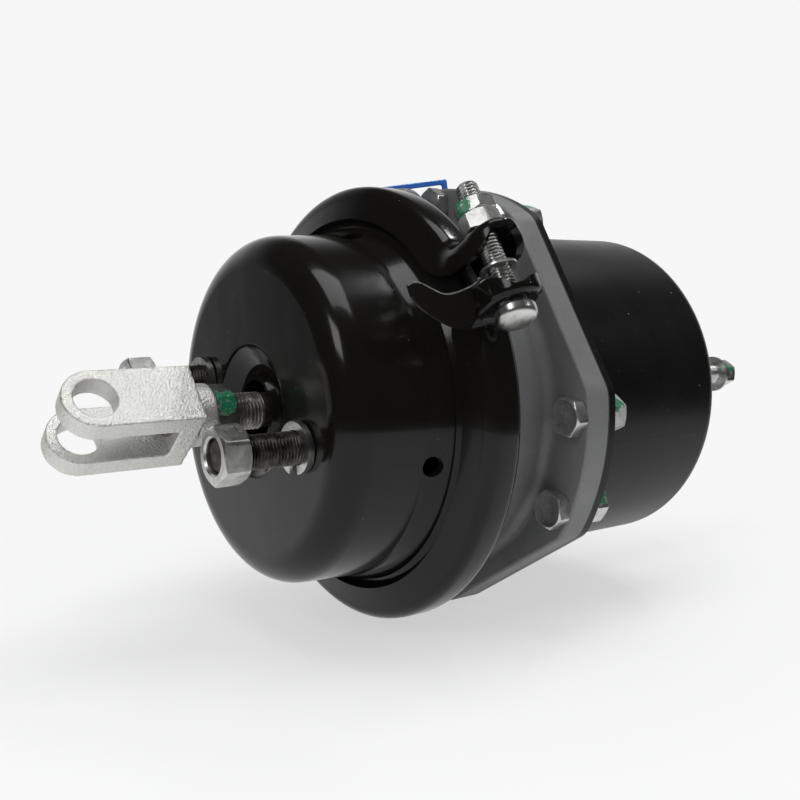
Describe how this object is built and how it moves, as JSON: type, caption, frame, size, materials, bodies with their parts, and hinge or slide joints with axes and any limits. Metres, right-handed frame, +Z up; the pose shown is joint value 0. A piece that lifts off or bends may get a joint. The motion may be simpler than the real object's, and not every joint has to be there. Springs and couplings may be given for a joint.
{
  "type": "air brake chamber",
  "caption": "Spring brake chamber: diaphragm service pot with push rod and clevis, cast flanged middle body and parking spring housing on one axis.",
  "frame": {"origin": "centre of the flat mounting face of the service pot, on the push rod's axis, midway between the two mounting studs", "axes": "+X along the push rod, the way it moves out of the pot; +Z up as in the picture; the mounting studs' line is turned 13.4 degrees from +Y, below it on the +Y side"},
  "size_m": [0.3561, 0.1836, 0.1773],
  "materials": {
    "black_gloss_paint": "gloss",
    "black_satin_paint": "satin",
    "cast_aluminium": "fine cast grain",
    "galvanised_forging": "grainy zinc coat",
    "zinc_plate": "bright",
    "black_oxide": "dark oiled thread",
    "bare_steel": "ground",
    "spring_steel": "satin coat",
    "brass_bush": "dull",
    "black_rubber": "matt",
    "blue_plastic": "soft gloss",
    "black_plastic": "matt"
  },
  "bodies": {
    "chamber": {"service_pot": "black_gloss_paint", "mounting_studs": "black_oxide", "stud_nuts": "zinc_plate", "stud_spring_washers": "zinc_plate", "return_spring": "spring_steel", "power_spring": "spring_steel", "diaphragm": "black_rubber", "clamp_ring": "black_gloss_paint", "clamp_bolt": "zinc_plate", "clamp_nut": "zinc_plate", "clamp_lock_nut": "zinc_plate", "identification_tag": "black_gloss_paint", "flange_casting": "cast_aluminium", "housing_gasket": "black_rubber", "spring_housing": "black_satin_paint", "release_boss": "black_satin_paint", "breather_cap": "black_plastic", "flange_bolts": "zinc_plate", "flange_nuts": "zinc_plate", "thrust_tube_bush": "brass_bush", "thrust_tube_seal": "black_rubber", "port_plugs": "blue_plastic"},
    "push_rod_body": {"push_rod": "black_oxide", "push_plate": "black_satin_paint", "clevis_lock_nut": "zinc_plate"},
    "clevis_body": {"clevis": "galvanised_forging"},
    "parking_piston_body": {"parking_piston": "cast_aluminium", "piston_seal": "black_rubber", "piston_guide_ring": "black_plastic", "thrust_tube": "bare_steel", "thrust_plate": "bare_steel"},
    "release_bolt_body": {"release_bolt": "zinc_plate", "release_hex": "zinc_plate", "release_pin": "bare_steel"}
  },
  "joints": [
    {"name": "push_rod_stroke", "type": "slide", "parent": "chamber", "child": "push_rod_body", "axis": [1, 0, 0], "range_m": [0, 0.057], "stiffness_N_per_m": 2000, "springref_m": -0.04, "deforming": ["return_spring", "diaphragm"]},
    {"name": "clevis_turn", "type": "hinge", "parent": "push_rod_body", "child": "clevis_body", "pos_m": [0.062, 0, 0], "axis": [1, 0, 0], "range_deg": [-180, 180]},
    {"name": "parking_piston_slide", "type": "slide", "parent": "chamber", "child": "parking_piston_body", "axis": [1, 0, 0], "range_m": [0, 0.057], "deforming": ["power_spring"]},
    {"name": "release_bolt_wind", "type": "slide", "parent": "chamber", "child": "release_bolt_body", "axis": [1, 0, 0], "range_m": [0, 0.057]}
  ],
  "couplings": [
    {"joint": "parking_piston_slide", "follows": "push_rod_stroke", "ratio": 1},
    {"joint": "release_bolt_wind", "follows": "push_rod_stroke", "ratio": 1}
  ]
}
